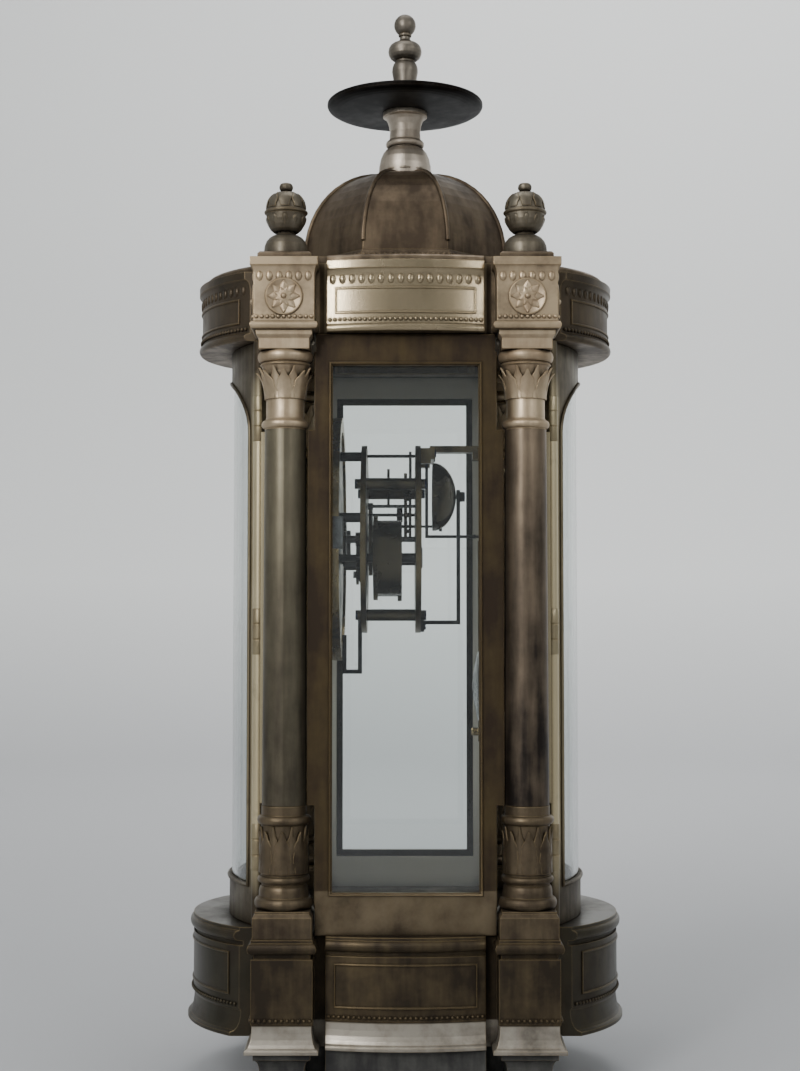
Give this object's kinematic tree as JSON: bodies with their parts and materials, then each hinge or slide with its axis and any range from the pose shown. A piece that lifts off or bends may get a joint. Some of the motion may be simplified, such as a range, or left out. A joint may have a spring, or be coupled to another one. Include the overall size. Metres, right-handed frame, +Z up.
{
  "type": "lantern clock",
  "caption": "Glazed mantel clock with corner columns, bowed front and rear doors, low faceted dome with a disc finial, and a striking pendulum movement.",
  "frame": {"origin": "centre of the floor under the feet", "axes": "+Z up, the dial faces -Y, +X is to the right of someone facing the dial"},
  "size_m": [0.1672, 0.201, 0.4963],
  "materials": {
    "dark_bronze": "nearly black bronze patina",
    "aged_bronze": "brown bronze patina, worn to brass on the edges",
    "aged_brass": "dull unlacquered brass",
    "polished_brass": "bright brass",
    "steel": "grey steel",
    "blued_steel": "blued steel",
    "enamel": "white enamel",
    "plate_glass": "clear bevelled glass"
  },
  "bodies": {
    "case": {"feet": "dark_bronze", "base_frame": "dark_bronze", "plinth": "aged_bronze", "column_bases": "aged_bronze", "column_front_left": "aged_brass", "column_front_right": "aged_brass", "column_rear_left": "aged_brass", "column_rear_right": "aged_brass", "capitals": "aged_brass", "cornice": "aged_brass", "rosettes": "aged_brass", "roof_plate": "aged_bronze", "dome": "aged_bronze", "finial_stem": "aged_brass", "smoke_cap": "dark_bronze", "finial_spindle": "aged_brass", "corner_finials": "aged_brass", "tie_rods": "steel", "tie_nuts": "steel", "side_frame_left": "aged_bronze", "side_frame_right": "aged_bronze", "side_glass_left": "plate_glass", "side_glass_right": "plate_glass", "door_jambs": "aged_bronze", "bezel": "aged_brass", "dial_plate": "polished_brass", "dial": "enamel", "bezel_lugs": "steel", "dial_supports": "steel", "front_plate": "polished_brass", "back_plate": "polished_brass", "plate_pillars": "polished_brass", "clicks": "steel", "bell": "polished_brass", "bell_stand": "steel", "back_cock": "polished_brass"},
    "front_door": {"front_door_frame": "aged_bronze", "front_glass": "plate_glass"},
    "front_catch": {"front_catch": "polished_brass"},
    "rear_door": {"rear_door_frame": "aged_bronze", "rear_glass": "plate_glass"},
    "rear_catch": {"rear_catch": "polished_brass"},
    "minute_hand": {"centre_wheel": "polished_brass", "cannon_pinion": "steel", "minute_hand": "blued_steel"},
    "minute_wheel": {"minute_wheel": "polished_brass"},
    "hour_hand": {"hour_wheel": "polished_brass", "hour_hand": "blued_steel"},
    "going_barrel": {"going_barrel": "polished_brass"},
    "going_arbor": {"going_arbor": "steel"},
    "third_wheel": {"third_wheel": "polished_brass"},
    "escape_wheel": {"escape_wheel": "polished_brass"},
    "pallets": {"pallets": "steel"},
    "pendulum": {"pendulum": "polished_brass"},
    "pin_wheel": {"pin_wheel": "polished_brass"},
    "strike_barrel": {"strike_barrel": "polished_brass"},
    "strike_arbor": {"strike_arbor": "steel"},
    "locking_wheel": {"locking_wheel": "polished_brass"},
    "fly": {"fly": "polished_brass"},
    "hammer": {"hammer": "steel"}
  },
  "joints": [
    {"name": "front_door_swing", "type": "hinge", "parent": "case", "child": "front_door", "pos_m": [0.0504, -0.0644, 0], "axis": [0, 0, 1], "range_deg": [0, 100]},
    {"name": "front_catch_turn", "type": "hinge", "parent": "front_door", "child": "front_catch", "pos_m": [-0.04551, -0.06788, 0.204], "axis": [0.5495, 0.8355, 0], "range_deg": [0, 90]},
    {"name": "rear_door_swing", "type": "hinge", "parent": "case", "child": "rear_door", "pos_m": [0.0504, 0.0644, 0], "axis": [0, 0, -1], "range_deg": [0, 100]},
    {"name": "rear_catch_turn", "type": "hinge", "parent": "rear_door", "child": "rear_catch", "pos_m": [-0.04551, 0.06788, 0.204], "axis": [-0.5495, 0.8355, 0], "range_deg": [0, 90]},
    {"name": "minute_hand_turn", "type": "hinge", "parent": "case", "child": "minute_hand", "pos_m": [0, 0, 0.245], "axis": [0, 1, 0], "continuous": true},
    {"name": "hour_hand_turn", "type": "hinge", "parent": "case", "child": "hour_hand", "pos_m": [0, 0, 0.245], "axis": [0, 1, 0], "continuous": true},
    {"name": "minute_wheel_turn", "type": "hinge", "parent": "case", "child": "minute_wheel", "pos_m": [0, 0, 0.233], "axis": [0, 1, 0], "continuous": true},
    {"name": "going_barrel_turn", "type": "hinge", "parent": "case", "child": "going_barrel", "pos_m": [0.01999, 0, 0.23551], "axis": [0, 1, 0], "continuous": true},
    {"name": "third_wheel_turn", "type": "hinge", "parent": "case", "child": "third_wheel", "pos_m": [0.01049, 0, 0.25987], "axis": [0, 1, 0], "continuous": true},
    {"name": "escape_wheel_turn", "type": "hinge", "parent": "case", "child": "escape_wheel", "pos_m": [0, 0, 0.27245], "axis": [0, 1, 0], "continuous": true},
    {"name": "pendulum_swing", "type": "hinge", "parent": "case", "child": "pendulum", "pos_m": [0, 0, 0.28425], "axis": [0, 1, 0], "range_deg": [-4, 4]},
    {"name": "pallets_rock", "type": "hinge", "parent": "case", "child": "pallets", "pos_m": [0, 0, 0.28425], "axis": [0, 1, 0], "range_deg": [-4, 4]},
    {"name": "going_winding", "type": "hinge", "parent": "case", "child": "going_arbor", "pos_m": [0.01999, 0, 0.23551], "axis": [0, 1, 0], "continuous": true},
    {"name": "strike_winding", "type": "hinge", "parent": "case", "child": "strike_arbor", "pos_m": [-0.01999, 0, 0.23551], "axis": [0, 1, 0], "continuous": true},
    {"name": "pin_wheel_turn", "type": "hinge", "parent": "case", "child": "pin_wheel", "pos_m": [-0.01807, 0, 0.25756], "axis": [0, 1, 0], "continuous": true},
    {"name": "strike_barrel_turn", "type": "hinge", "parent": "case", "child": "strike_barrel", "pos_m": [-0.01999, 0, 0.23551], "axis": [0, 1, 0], "continuous": true},
    {"name": "locking_wheel_turn", "type": "hinge", "parent": "case", "child": "locking_wheel", "pos_m": [-0.0157, 0, 0.27095], "axis": [0, 1, 0], "continuous": true},
    {"name": "fly_turn", "type": "hinge", "parent": "case", "child": "fly", "pos_m": [-0.02458, 0, 0.27418], "axis": [0, 1, 0], "continuous": true},
    {"name": "hammer_lift", "type": "hinge", "parent": "case", "child": "hammer", "pos_m": [-0.036, 0, 0.253], "axis": [0, -1, 0], "range_deg": [0, 12]}
  ],
  "couplings": [
    {"joint": "hour_hand_turn", "follows": "minute_hand_turn", "ratio": 0.083333},
    {"joint": "minute_wheel_turn", "follows": "minute_hand_turn", "ratio": -0.33333},
    {"joint": "going_barrel_turn", "follows": "minute_hand_turn", "ratio": -0.16667},
    {"joint": "third_wheel_turn", "follows": "minute_hand_turn", "ratio": -12},
    {"joint": "escape_wheel_turn", "follows": "minute_hand_turn", "ratio": 144},
    {"joint": "pallets_rock", "follows": "pendulum_swing", "ratio": 1},
    {"joint": "strike_barrel_turn", "follows": "pin_wheel_turn", "ratio": -0.16667},
    {"joint": "locking_wheel_turn", "follows": "pin_wheel_turn", "ratio": -9},
    {"joint": "fly_turn", "follows": "pin_wheel_turn", "ratio": 72}
  ]
}
